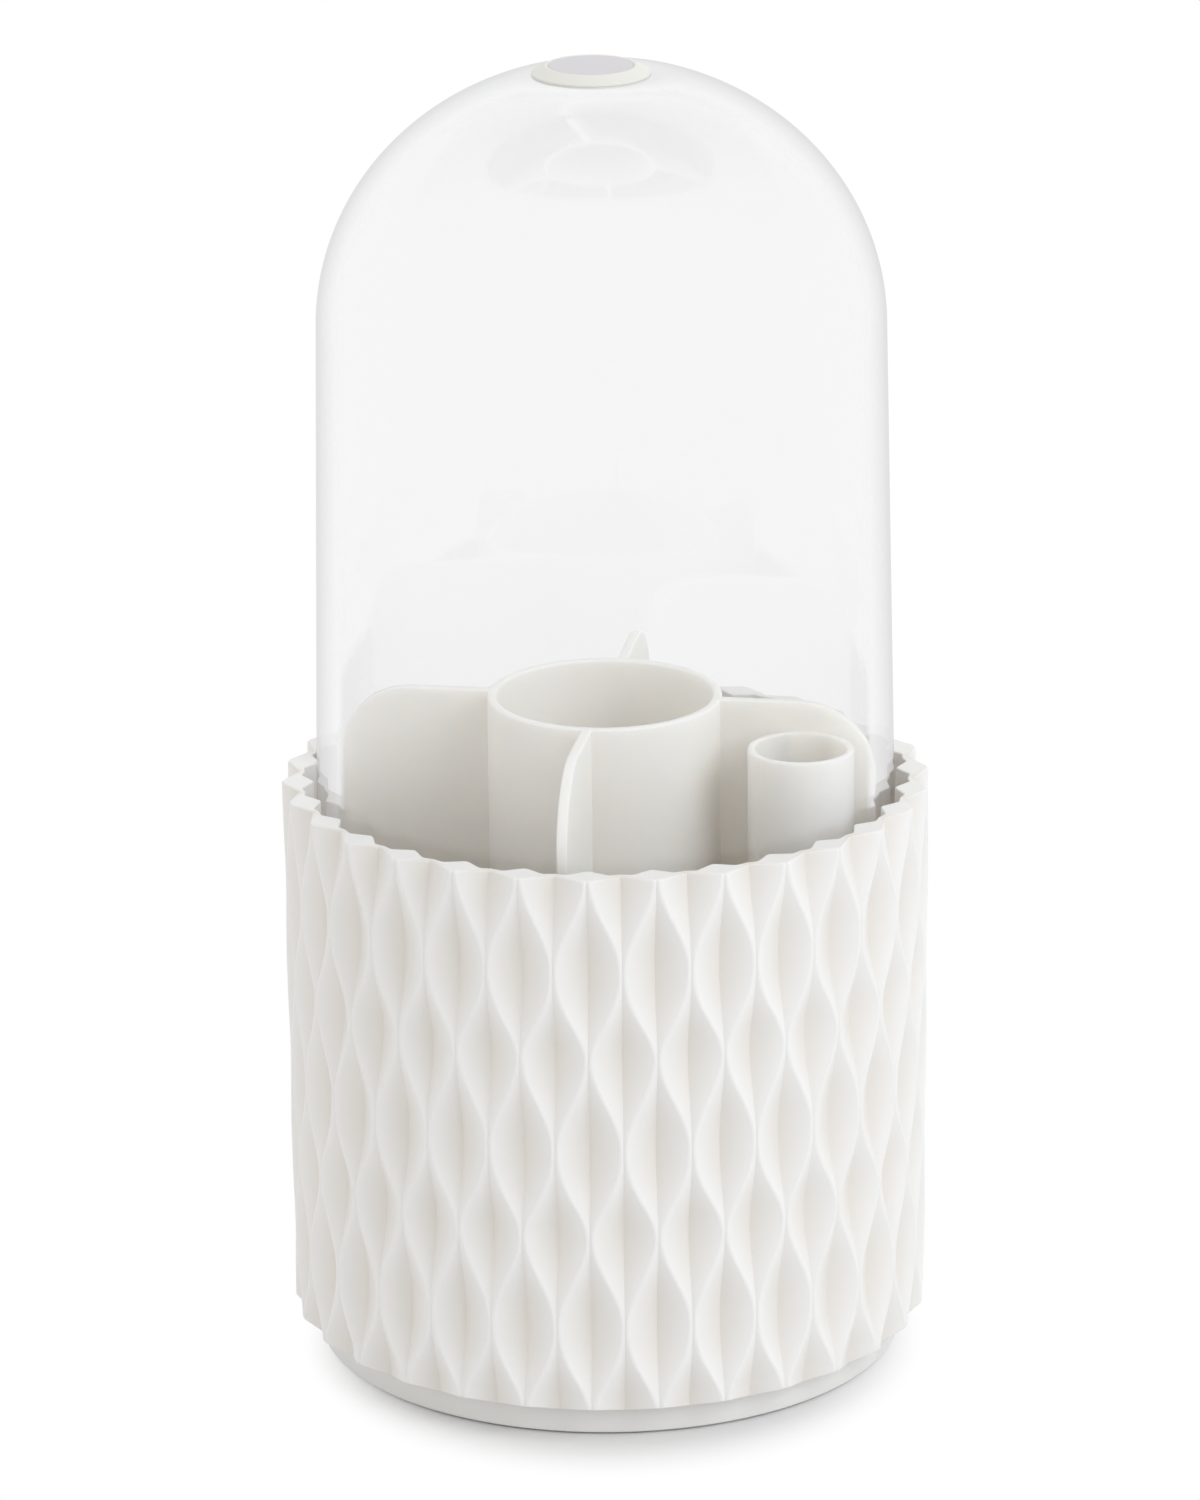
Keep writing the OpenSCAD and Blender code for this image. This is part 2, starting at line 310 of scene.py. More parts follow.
@dataclass
class Graph:
    """A node tree that is being built."""

    tree: bpy.types.NodeTree

    def add(self, kind: str, **values: object) -> Node:
        """Adds a node.

        Args:
            kind: The node type's name without its ShaderNode prefix.
            values: Node settings, or values of input sockets when the name starts
                with a capital letter, with underscores for spaces.

        Returns:
            The new node.
        """
        node = self.tree.nodes.new(kind if kind.startswith("Node") else "ShaderNode" + kind)
        for key, value in values.items():
            if key[0].isupper():
                node.inputs[key.replace("_", " ")].default_value = value
            else:
                setattr(node, key, value)
        return node

    def link(self, source: Socket, target: Socket) -> None:
        """Joins an output socket to an input socket."""
        self.tree.links.new(source, target)

    def mask(
        self,
        source: Socket,
        low: float,
        high: float,
        to: Sequence[float] = (0, 1),
        ramp: str = "LINEAR",
    ) -> Socket:
        """Stretches a changing value to a new range and clamps it.

        Args:
            source: The value to stretch.
            low: The value that becomes to[0].
            high: The value that becomes to[1].
            to: The new range.
            ramp: How it runs from one end to the other.

        Returns:
            The stretched value.
        """
        node = self.add("MapRange", interpolation_type=ramp, From_Min=low, From_Max=high)
        node.inputs["To Min"].default_value, node.inputs["To Max"].default_value = to
        self.link(source, node.inputs["Value"])
        return node.outputs["Result"]

    def blend(self, factor: Socket, first: Colour | Socket, second: Colour | Socket) -> Socket:
        """Mixes two colours by a mask.

        Args:
            factor: The mask.
            first: The colour where it is 0.
            second: The colour where it is 1.

        Returns:
            The mixed colour.
        """
        node = self.add("Mix", data_type="RGBA")
        self.link(factor, node.inputs[0])
        for index, colour in ((6, first), (7, second)):
            if isinstance(colour, tuple):
                node.inputs[index].default_value = (*colour, 1)
            else:
                self.link(colour, node.inputs[index])
        return node.outputs[2]

    def maths(self, how: str, first: Socket, second: Socket | float) -> Socket:
        """Combines two values.

        Args:
            how: The operation.
            first: The changing value.
            second: The value that it is combined with.

        Returns:
            The result.
        """
        node = self.add("Math", operation=how)
        self.link(first, node.inputs[0])
        if isinstance(second, float):
            node.inputs[1].default_value = second
        else:
            self.link(second, node.inputs[1])
        return node.outputs[0]

    def noise(self, place: Socket, size: Socket, **settings: float) -> Socket:
        """Adds a noise pattern.

        Args:
            place: The coordinates that it reads.
            size: Its scale.
            settings: Values of its other sockets.

        Returns:
            The pattern's value.
        """
        node = self.add("TexNoise", **settings)
        self.link(place, node.inputs["Vector"])
        self.link(size, node.inputs["Scale"])
        return node.outputs["Fac"]

    def effect(self, tree: bpy.types.NodeTree, place: Socket, size: float) -> Node:
        """Places a shader group.

        Args:
            tree: The group.
            place: The coordinates that it reads.
            size: Its pattern's scale.

        Returns:
            The group node.
        """
        node = self.add("Group", node_tree=tree, Size=size)
        self.link(place, node.inputs["Place"])
        return node

    def bump(self, shader: Node, height: Socket, depth: float) -> None:
        """Gives a shader a relief.

        Args:
            shader: The shader.
            height: The relief's height.
            depth: What a height of 1 stands for, in millimetres.
        """
        node = self.add("Bump", Strength=1.0, Distance=depth * MM)
        self.link(height, node.inputs["Height"])
        self.link(node.outputs["Normal"], shader.inputs["Normal"])

    def either(self, factor: Socket, first: Socket, second: Socket) -> Socket:
        """Mixes two shaders by a mask.

        Args:
            factor: The mask.
            first: The shader where it is 0.
            second: The shader where it is 1.

        Returns:
            The mixed shader.
        """
        node = self.add("MixShader")
        for index, source in enumerate((factor, first, second)):
            self.link(source, node.inputs[index])
        return node.outputs[0]

    def backdrop_rays(self) -> Socket:
        """Finds the rays that see the background: camera, glossy and transmission rays.

        Returns:
            Their mask.
        """
        path = self.add("LightPath").outputs
        seen = self.maths("MAXIMUM", path["Is Camera Ray"], path["Is Glossy Ray"])
        return self.maths("MAXIMUM", seen, path["Is Transmission Ray"])

    def show(self, shader: Socket, output: str = "OutputMaterial") -> None:
        """Shows a shader as the surface of the material or world."""
        self.link(shader, self.add(output).inputs["Surface"])


def emptied(block: bpy.types.Material | bpy.types.World) -> Graph:
    """Clears a material or world for new nodes.

    Args:
        block: The material or world.

    Returns:
        Its empty graph.
    """
    block.use_nodes = True
    block.node_tree.nodes.clear()
    return Graph(block.node_tree)


def group(
    name: str, size: float, outputs: Sequence[str]
) -> tuple[bpy.types.NodeTree, Graph, Socket, Socket, Node]:
    """Starts a shader group that reads a place and a size, and puts out masks.

    Args:
        name: The group's name.
        size: Its pattern's standard scale.
        outputs: Names of the masks that it puts out.

    Returns:
        The group, its graph, its place, its size, and its output node.
    """
    tree = bpy.data.node_groups.new(name, "ShaderNodeTree")
    tree.interface.new_socket("Place", in_out="INPUT", socket_type="NodeSocketVector")
    scale = tree.interface.new_socket("Size", in_out="INPUT", socket_type="NodeSocketFloat")
    scale.default_value = size
    for key in outputs:
        tree.interface.new_socket(key, in_out="OUTPUT", socket_type="NodeSocketFloat")
    graph = Graph(tree)
    given = graph.add("NodeGroupInput").outputs
    return tree, graph, given["Place"], given["Size"], graph.add("NodeGroupOutput")


class Effects:
    """The shader groups that more than one finish uses."""

    def __init__(self) -> None:
        """Builds every group once."""
        self.grain = self._grain()
        self.flow = self._flow()
        self.scuffs = self._scuffs()
        self.turning = self._turning()

    @staticmethod
    def _grain() -> bpy.types.NodeTree:
        """Builds the fine, rolling grain of a moulded surface.

        Returns:
            A group with the outputs Height and Speck.
        """
        tree, graph, place, size, made = group("moulded_grain", 900.0, ("Height", "Speck"))
        coarse = graph.noise(place, size, Detail=2.0, Roughness=0.5)
        fine_size = graph.maths("MULTIPLY", size, 3.1)
        fine = graph.noise(place, fine_size, Detail=1.0, Roughness=0.6)
        height = graph.maths("ADD", coarse, graph.maths("MULTIPLY", fine, 0.35))
        graph.link(height, made.inputs["Height"])
        graph.link(graph.mask(fine, 0.56, 0.72), made.inputs["Speck"])
        return tree

    @staticmethod
    def _flow() -> bpy.types.NodeTree:
        """Builds the broad, cloudy drift of colour that a melt leaves.

        Returns:
            A group with the output Drift.
        """
        tree, graph, place, size, made = group("melt_flow", 26.0, ("Drift",))
        stretch = graph.add("Mapping", Scale=(1.0, 1.0, 0.35))
        graph.link(place, stretch.inputs["Vector"])
        streamed = stretch.outputs["Vector"]
        cloud = graph.noise(streamed, size, Detail=3.0, Roughness=0.55, Distortion=0.6)
        graph.link(graph.mask(cloud, 0.3, 0.7), made.inputs["Drift"])
        return tree

    @staticmethod
    def _scuffs() -> bpy.types.NodeTree:
        """Builds faint wiping marks and hairlines from handling.

        Returns:
            A group with the outputs Smear and Hairline.
        """
        tree, graph, place, size, made = group("handling_marks", 40.0, ("Smear", "Hairline"))
        smear = graph.noise(place, size, Detail=4.0, Roughness=0.6, Distortion=1.2)
        graph.link(graph.mask(smear, 0.45, 0.75), made.inputs["Smear"])
        slant = graph.add("Mapping", Rotation=(0.5, 0.3, 0.9), Scale=(1.0, 12.0, 12.0))
        graph.link(place, slant.inputs["Vector"])
        line_size = graph.maths("MULTIPLY", size, 2.5)
        line = graph.noise(slant.outputs["Vector"], line_size, Detail=2.0, Roughness=0.5)
        graph.link(graph.mask(line, 0.64, 0.7), made.inputs["Hairline"])
        return tree

    @staticmethod
    def _turning() -> bpy.types.NodeTree:
        """Builds the fine rings that turning or polishing leaves on metal.

        Returns:
            A group with the outputs Height and Streak.
        """
        tree, graph, place, size, made = group("turned_rings", 1400.0, ("Height", "Streak"))
        split = graph.add("SeparateXYZ")
        graph.link(place, split.inputs[0])
        sides = (split.outputs["X"], split.outputs["Y"])
        squares = [graph.maths("MULTIPLY", side, side) for side in sides]
        radius = graph.maths("SQRT", graph.maths("ADD", *squares), 0.0)
        rings = graph.add("CombineXYZ")
        graph.link(radius, rings.inputs["X"])
        graph.link(split.outputs["Z"], rings.inputs["Y"])
        lines = graph.noise(rings.outputs[0], size, Detail=3.0, Roughness=0.7)
        graph.link(lines, made.inputs["Height"])
        graph.link(graph.mask(lines, 0.4, 0.65), made.inputs["Streak"])
        return tree


# Finishes


@dataclass(frozen=True)
class Finish:
    """A surface finish; each kind builds its own material from it.

    Attributes:
        name: The material's name.
        slot: The record's material slot.
        colour: The plain colour.
        roughness: The roughness where the surface is clean.
    """

    name: str
    slot: str
    colour: Colour
    roughness: float

    def start(self, **values: object) -> tuple[bpy.types.Material, Graph, Node, Socket]:
        """Starts the material.

        Args:
            values: Values of the shader's further sockets.

        Returns:
            The material, its graph, its shader, and the place that its patterns read.
        """
        plain = (*self.colour, 1)
        material = bpy.data.materials.new(self.name)
        material.diffuse_color = plain
        graph = emptied(material)
        shader = graph.add("BsdfPrincipled", Base_Color=plain, Roughness=self.roughness, **values)
        return material, graph, shader, graph.add("TexCoord").outputs["Object"]


@dataclass(frozen=True)
class Moulded(Finish):
    """Opaque moulded plastic or rubber.

    Attributes:
        drift: The colour that the melt drifts to.
        painted_shade: The painted shade, a warmer, darker colour that the piece's own hollow
            attribute blends in where shade falls.
        grain_size: The scale of the grain.
        grain_depth: The depth of the grain in millimetres.
        worn: The roughness where hands have rubbed it.
        shine: The specular level.
        sheen: The weight of a soft sheen, for rubber.
        milky: The weight of the light that wanders inside thin walls.
        speck: How much rougher its specks are.
        scratch: How deep its hairlines are, as a share of the grain.
        wander: How far light wanders in it, in millimetres.
    """

    drift: Colour = (0.8, 0.8, 0.8)
    painted_shade: Optional[Colour] = None
    grain_size: float = 900.0
    grain_depth: float = 0.02
    worn: float = 0.3
    shine: float = 0.5
    sheen: float = 0.0
    milky: float = 0.0
    speck: float = 0.06
    scratch: float = 0.25
    wander: float = 6.0

    def material(self, effects: Effects) -> bpy.types.Material:
        """Builds the plastic's material.

        Args:
            effects: The shared shader groups.

        Returns:
            The material.
        """
        material, graph, shader, place = self.start(
            Specular_IOR_Level=self.shine,
            Sheen_Weight=self.sheen,
            Subsurface_Weight=self.milky,
            Subsurface_Radius=(1.0, 0.85, 0.7),
            Subsurface_Scale=self.wander * MM,
        )
        grain = graph.effect(effects.grain, place, self.grain_size).outputs
        flow = graph.effect(effects.flow, place, size=26.0).outputs
        marks = graph.effect(effects.scuffs, place, size=34.0).outputs

        colour = graph.blend(flow["Drift"], self.colour, self.drift)
        # Painted shade: the hollow attribute darkens and warms hollows and low parts.
        if self.painted_shade is not None:
            hollow = graph.add("Attribute", attribute_name="hollow")
            colour = graph.blend(hollow.outputs["Fac"], colour, self.painted_shade)
        graph.link(colour, shader.inputs["Base Color"])

        smear = graph.mask(marks["Smear"], 0.0, 1.0, (self.roughness, self.worn))
        speck = graph.maths("MULTIPLY", grain["Speck"], self.speck)
        graph.link(graph.maths("ADD", smear, speck), shader.inputs["Roughness"])

        hairline = graph.maths("MULTIPLY", marks["Hairline"], self.scratch)
        height = graph.maths("SUBTRACT", grain["Height"], hairline)
        graph.bump(shader, height, self.grain_depth)
        graph.show(shader.outputs["BSDF"])
        return material


@dataclass(frozen=True)
class Clear(Finish):
    """Clear polished plastic, which lets lamps through.

    Near its outline a camera ray is mirrored or goes straight through, both in the same
    greyer tint: painted shade that stands in for the many reflections inside a wall that
    is seen edge-on, which would only make noise there.

    Attributes:
        smeared: The roughness where it has been touched.
        bend: The index of refraction.
        ripple: The depth of its faint ripples in millimetres.
        passing: What a wall lets through that such a ray meets later.
        inner: What two walls let through where the outline's painted shade starts.
        edge: What two walls let through at the outline, with painted shade standing in for the
            reflections inside them.
        edge_on: How edge-on a wall is where that painted shade starts and where it is full.
        rim_on: How edge-on a wall is where that way starts and where it is full.
        mirror: The share of those rays that is mirrored.
    """

    smeared: float = 0.015
    bend: float = 1.49
    ripple: float = 0.001
    passing: Colour = (0.995, 0.996, 0.997)
    inner: Colour = (0.916, 0.917, 0.921)
    edge: Colour = (0.763, 0.763, 0.767)
    edge_on: tuple[float, float] = (0.65, 0.87)
    rim_on: tuple[float, float] = (0.59, 0.63)
    mirror: float = 0.85

    def straight(self, graph: Graph) -> tuple[Socket, Socket]:
        """Builds the straight way through.

        Args:
            graph: The material's nodes.

        Returns:
            The mask of the rays that take it, and its shader.
        """
        path = graph.add("LightPath").outputs
        seen, met = path["Is Camera Ray"], path["Transparent Depth"]
        facing = graph.add("LayerWeight", Blend=0.5).outputs["Facing"]
        first = graph.maths("MULTIPLY", seen, graph.maths("LESS_THAN", met, 0.5))
        later = graph.maths("GREATER_THAN", met, 0.5)
        # Painted shade: the tint greys towards the outline in place of the light that edge-on walls
        # lose.
        shade = graph.blend(graph.mask(facing, *self.edge_on), self.inner, self.edge)
        tint = graph.blend(first, self.passing, shade)
        through = graph.add("BsdfTransparent")
        glossy = graph.add("BsdfGlossy", Roughness=0.0)
        for shader in (through, glossy):
            graph.link(tint, shader.inputs["Color"])
        mirrored = graph.maths("MULTIPLY", first, self.mirror)

        outline = graph.maths("MAXIMUM", graph.mask(facing, *self.rim_on), later)
        outline = graph.maths("MULTIPLY", outline, seen)
        lamps = graph.maths("MAXIMUM", path["Is Shadow Ray"], path["Is Diffuse Ray"])
        taken = graph.maths("MAXIMUM", lamps, outline)
        return taken, graph.either(mirrored, through.outputs["BSDF"], glossy.outputs["BSDF"])

    def material(self, effects: Effects) -> bpy.types.Material:
        """Builds the clear plastic's material.

        Args:
            effects: The shared shader groups.

        Returns:
            The material.
        """
        material, graph, shader, place = self.start(Transmission_Weight=1.0, IOR=self.bend)
        marks = graph.effect(effects.scuffs, place, size=22.0).outputs
        grain = graph.effect(effects.grain, place, size=10.0).outputs
        rough = graph.mask(marks["Smear"], 0.0, 1.0, (self.roughness, self.smeared))
        graph.link(rough, shader.inputs["Roughness"])
        graph.bump(shader, grain["Height"], self.ripple)
        taken, through = self.straight(graph)
        graph.show(graph.either(taken, shader.outputs["BSDF"], through))
        return material


@dataclass(frozen=True)
class Metal(Finish):
    """Steel, turned or polished.

    Attributes:
        streak: The colour along the turning marks.
        rough_streak: The roughness along them.
        ring_size: The scale of the turning marks.
        ring_depth: Their depth in millimetres.
        wear: How much rougher it is where it is smeared.
    """

    streak: Colour = (0.55, 0.56, 0.57)
    rough_streak: float = 0.4
    ring_size: float = 1400.0
    ring_depth: float = 0.01
    wear: float = 0.08

    def material(self, effects: Effects) -> bpy.types.Material:
        """Builds the metal's material.

        Args:
            effects: The shared shader groups.

        Returns:
            The material.
        """
        material, graph, shader, place = self.start(Metallic=1.0)
        rings = graph.effect(effects.turning, place, self.ring_size).outputs
        marks = graph.effect(effects.scuffs, place, size=120.0).outputs
        colour = graph.blend(rings["Streak"], self.colour, self.streak)
        graph.link(colour, shader.inputs["Base Color"])
        rough = graph.mask(rings["Streak"], 0.0, 1.0, (self.roughness, self.rough_streak))
        wear = graph.maths("MULTIPLY", marks["Smear"], self.wear)
        graph.link(graph.maths("ADD", rough, wear), shader.inputs["Roughness"])
        graph.bump(shader, rings["Height"], self.ring_depth)
        graph.show(shader.outputs["BSDF"])
        return material


FINISHES: tuple[Finish, ...] = (
    Moulded(
        "satin_white_tub", "tub_white", (0.845, 0.844, 0.838), 0.42,
        # The second colour is painted shade for the relief's valleys and the inside of the tub.
        drift=(0.834, 0.830, 0.82), painted_shade=(0.70, 0.64, 0.57), worn=0.34,
    ),
    Moulded(
        "plain_white_inner", "inner_white", (0.83, 0.825, 0.81), 0.5,
        drift=(0.80, 0.79, 0.775), worn=0.42,
    ),
    Moulded(
        "smooth_white_foot", "foot_white", (0.79, 0.784, 0.773), 0.36,
        drift=(0.772, 0.765, 0.753),
    ),
    Moulded(
        "satin_ivory_divider", "divider_ivory", (0.95, 0.913, 0.855), 0.4,
        # The second colour is painted shade, darker towards the divider's floor.
        drift=(0.935, 0.892, 0.83), painted_shade=(0.90, 0.845, 0.775), milky=0.9,
    ),
    Clear("clear_dome", "dome_clear", (0.957, 0.957, 0.961), 0.004),
    Moulded(
        "satin_cream_badge", "badge_cream", (0.78, 0.778, 0.735), 0.38,
        drift=(0.765, 0.76, 0.715), worn=0.32,
    ),
    Moulded(
        "satin_lavender_badge", "badge_lavender", (0.63, 0.614, 0.636), 0.36,
        drift=(0.612, 0.593, 0.618),
    ),
    Metal("zinc_screws", "screw_steel", (0.62, 0.63, 0.645), 0.32),
    Metal("plain_washer", "washer_steel", (0.56, 0.565, 0.575), 0.36, ring_size=2200.0),
    Metal(
        "polished_balls", "ball_steel", (0.72, 0.73, 0.74), 0.06,
        streak=(0.66, 0.67, 0.68), rough_streak=0.12, ring_depth=0.001,
    ),
    Moulded(
        "grey_cage", "cage_plastic", (0.56, 0.57, 0.58), 0.5,
        drift=(0.52, 0.53, 0.54), worn=0.42,
    ),
    Moulded(
        "soft_pads", "pad_rubber", (0.38, 0.38, 0.37), 0.75,
        drift=(0.34, 0.34, 0.335), grain_size=1800.0, grain_depth=0.05, worn=0.62,
        shine=0.35, sheen=0.15,
    ),
)


class Paintbox:
    """The finished materials, by the record's slot names."""

    def __init__(self, effects: Effects) -> None:
        """Builds every material once, from the shared shader groups."""
        self.materials = {finish.slot: finish.material(effects) for finish in FINISHES}

    def paint(self, piece: Piece, slot: str) -> None:
        """Gives a piece one material in place of all that it has."""
        piece.data.materials.clear()
        piece.data.materials.append(self.materials[slot])

    def finish(self, piece: Piece, slot: str, body: Body, *replaces: str) -> None:
        """Paints a new piece and puts it on its body.

        Args:
            piece: The new piece.
            slot: The record's material slot.
            body: The body that it rides on.
            replaces: The CAD nodes that it stands for.
        """
        self.paint(piece, slot)
        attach(piece, body.value)
        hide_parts(*replaces)
        log.info("%s: %d faces on %s", piece.name, len(piece.data.polygons), body.value)


# Sub-assemblies


@dataclass
class ReliefTub:
    """The tub: a sleeve with a relief of leaves outside and ribs inside."""

    rim_r: float = 70.0
    taper: float = 0.5
    rim_z: float = 127.4
    relief_z: float = 8.1
    tip_r: float = 63.0
    hollow_depth: float = 2.7
    hollow_swell: float = 0.6
    rib_r: float = 60.0
    skirt_r: float = 64.4
    ledge_z: float = 115.0
    inside_z: float = 20.73
    rib_foot_lap: float = 0.4
    leaf_pairs: int = 30
    leaf_rows: int = 3
    leaf_depth: float = 3.5
    leaf_gap: float = 0.08
    leaf_turn: float = 2.55
    leaf_belly: float = 1.3
    leaf_cut: float = 0.9
    leaf_drop: float = 1.5
    crest_reach: float = 0.6
    crest_share: float = 0.45
    crest_points: int = 5
    corner_share: float = 0.64
    rim_round: float = 0.5
    lip_round: float = 0.45
    foot_round: float = 0.3
    round_points: int = 4
    rows: int = 96
    # How much painted shade the valleys get
    valley_shade: float = 0.6

    # Angles of an inner ring's points from one rib to the next, in parts of RING_SPAN
    RING_ANGLES = (0.0, 0.25, 0.5, 3.44, 3.84, 4.24, 6.0, 7.76, 8.16, 8.56, 11.5, 11.75)
    RING_SPAN = 12.0
    # Where beside each of them a rib's shape is read, and with what weight
    SMOOTHING = ((-0.5, 0.25), (0.0, 0.5), (0.5, 0.25))

    @property
    def pitch(self) -> float:
        """The width of one leaf column in degrees."""
        return 180.0 / self.leaf_pairs

    def crest_radius(self, z: float) -> float:
        """The radius of the crests at a height."""
        share = (z - self.relief_z) / (self.rim_z - self.relief_z)
        return self.rim_r - self.taper * (1 - share)

    def openness(self, z: float) -> float:
        """Finds the share of its column that a leaf closed at the rim takes.

        Args:
            z: The height.

        Returns:
            The share, from just above 0 to just below 1.
        """
        leaf_h = (self.rim_z - self.relief_z + self.leaf_cut) / self.leaf_rows
        share = (self.rim_z - z) / leaf_h % 1.0
        if share > 0.5:
            share = 0.5 + 0.5 * (2 * share - 1) ** self.leaf_belly
        wave = math.cos(math.tau * share)
        return self.leaf_gap + (0.5 - self.leaf_gap) * (1 - wave)

    def _crest(self, before: np.ndarray, crest: np.ndarray, after: np.ndarray) -> np.ndarray:
        """Rounds a crest between its two valleys.

        Args:
            before: The valley's point before it.
            crest: The crest's own point.
            after: The valley's point after it.

        Returns:
            The points over the crest.
        """
        ends = []
        for slope in (before - crest, after - crest):
            length = np.linalg.norm(slope)
            reach = min(self.crest_reach, self.crest_share * length)
            ends.append(crest + slope / length * reach)
        steps = np.linspace(0, 1, self.crest_points)[:, None]
        return (1 - steps) ** 2 * ends[0] + 2 * steps * (1 - steps) * crest + steps**2 * ends[1]

    def relief_ring(self, z: float, inset: float = 0.0) -> tuple[np.ndarray, np.ndarray]:
        """Makes one ring of the relief.

        Args:
            z: The height.
            inset: How far the ring is pulled in, for a rounded edge.

        Returns:
            The ring's points in the plane, and the painted shade of each from 0 to 1.
        """
        crest_r, share, step = self.crest_radius(z), self.openness(z), self.pitch
        shares = (share, 1 - share)
        points, shade_levels = [], []
        for column in range(2 * self.leaf_pairs):
            here, following = shares[column % 2], shares[(column + 1) % 2]
            angle = self.leaf_turn + step * column
            valley = polar(crest_r - self.leaf_depth * here, angle)
            crest = polar(crest_r, angle + step * here)
            after = polar(crest_r - self.leaf_depth * following, angle + step)
            points += [valley, *self._crest(valley, crest, after)]
            # Painted shade: each valley is darkened by how open its leaf is.
            shade_levels += [self.valley_shade * here] + [0.0] * self.crest_points
        ring = np.array(points)
        ring *= 1 - inset / np.linalg.norm(ring, axis=1, keepdims=True)
        return ring, np.array(shade_levels)

    def edge_drop(self, ring: np.ndarray, inset: float) -> np.ndarray:
        """Measures how far the lower edge drops, which is further in an open leaf.

        Args:
            ring: The relief's ring of points at the lower edge.
            inset: How far that ring is pulled in.

        Returns:
            The drop at each point.
        """
        reach = self.crest_radius(self.relief_z) - inset
        return self.leaf_drop / self.leaf_depth * (reach - np.linalg.norm(ring, axis=1))

    def star_ring(self, rib: float, hollow: float, swell: float, outset: float = 0.0) -> np.ndarray:
        """Makes one ring inside the tub, with a rib behind each closed leaf.

        Args:
            rib: The radius at a rib's tip.
            hollow: The radius at a hollow's corners.
            swell: How far the hollow's middle swells inwards.
            outset: How far the ring is pushed out, for a rounded edge.

        Returns:
            The ring's points in the plane.
        """
        corner, step = self.corner_share * self.pitch, self.pitch
        unit = 2 * step / self.RING_SPAN
        blunted = sum(abs(offset) * weight for offset, weight in self.SMOOTHING) * unit
        tip = rib - (hollow - rib) * blunted / corner
        marks = (-corner, 0.0, corner, step, 2 * step - corner, 2 * step, 2 * step + corner)
        radii = (hollow, tip, hollow, hollow - swell, hollow, tip, hollow)
        angles = np.array(self.RING_ANGLES) * unit
        reach = np.zeros(len(angles))
        for offset, weight in self.SMOOTHING:
            reach += weight * np.interp(angles + offset * unit, marks, radii)
        reach += outset
        ring = []
        for pair in range(self.leaf_pairs):
            turn = np.radians(self.leaf_turn + 2 * step * pair + angles)
            ring.append(np.stack([reach * np.cos(turn), reach * np.sin(turn)], 1))
        return np.concatenate(ring)

    def _loops(self) -> tuple[np.ndarray, np.ndarray]:
        """Lists the tub's rings of points, once round its wall.

        Returns:
            The points by ring and place in it, in millimetres, and their painted shade.
        """
        rings: list[np.ndarray] = []
        shade_levels: list[np.ndarray] = []

        def add(ring: np.ndarray, z: np.ndarray | float, depth: np.ndarray | float) -> None:
            """Adds a ring at its height, with its painted shade."""
            rings.append(np.column_stack([ring, np.broadcast_to(z, (len(ring),))]))
            shade_levels.append(np.broadcast_to(depth, (len(ring),)).copy())

        quarter = np.linspace(0, math.pi / 2, self.round_points)
        for turn in quarter:
            z = self.relief_z + self.foot_round * (1 - math.cos(turn))
            inset = self.foot_round * (1 - math.sin(turn))
            ring, depth = self.relief_ring(z, inset)
            add(ring, z - self.edge_drop(ring, inset), depth)
        low, high = self.relief_z + self.foot_round, self.rim_z - self.rim_round
        for z in np.linspace(low, high, self.rows + 1)[1:]:
            ring, depth = self.relief_ring(z)
            add(ring, z, depth)
        for turn in quarter[1:]:
            z = high + self.rim_round * math.sin(turn)
            ring, depth = self.relief_ring(z, self.rim_round * (1 - math.cos(turn)))
            add(ring, z, depth)

        lip = (self.tip_r, self.tip_r + self.hollow_depth, self.hollow_swell)
        ribs = (self.rib_r, self.skirt_r - self.rib_foot_lap, self.hollow_swell)
        skirt = (self.skirt_r, self.skirt_r, 0.0)
        for turn in quarter:
            z = self.rim_z - self.lip_round * (1 - math.cos(turn))
            add(self.star_ring(*lip, self.lip_round * (1 - math.sin(turn))), z, 0.0)
        # Each ring's shape, how far it is pushed out, its height and its painted shade, darker
        # inside the tub
        for star, outset, z, depth in (
            (lip, 0.0, 0.5 * (self.rim_z + self.ledge_z), 0.5),
            (lip, 0.0, self.ledge_z, 0.6),
            (ribs, 0.0, self.ledge_z, 0.6),
            (ribs, 0.0, 0.5 * (self.ledge_z + self.inside_z), 0.6),
            (ribs, 0.0, self.inside_z, 0.6),
            (skirt, 0.0, self.inside_z, 0.4),
            (skirt, 0.0, low, 0.3),
            (skirt, self.foot_round, self.relief_z, 0.2),
        ):
            add(self.star_ring(*star, outset), z, depth)
        return np.array(rings), np.array(shade_levels)

    def build(self, paints: Paintbox) -> None:
        """Folds a flat grid into the tub's closed wall.

        Args:
            paints: The finished materials.
        """
        rings, shade_levels = self._loops()
        tall, wide = rings.shape[:2]
        only()
        bpy.ops.mesh.primitive_grid_add(x_subdivisions=wide, y_subdivisions=tall, size=1)
        piece = named(bpy.context.object, "leaf_tub")
        flat = spots(piece)
        column = np.rint((flat[:, 0] + 0.5) * wide).astype(int) % wide
        row = np.rint((flat[:, 1] + 0.5) * tall).astype(int) % tall
        piece.data.vertices.foreach_set("co", (rings[row, column] * MM).ravel())
        # Painted shade in the relief's valleys and inside the tub.
        mark_painted_shade(piece, shade_levels[row, column])
        piece.data.update()
        weld(piece)
        smooth(piece, angle=24.0)
        paints.finish(piece, "tub_white", Body.TUB, "tub")


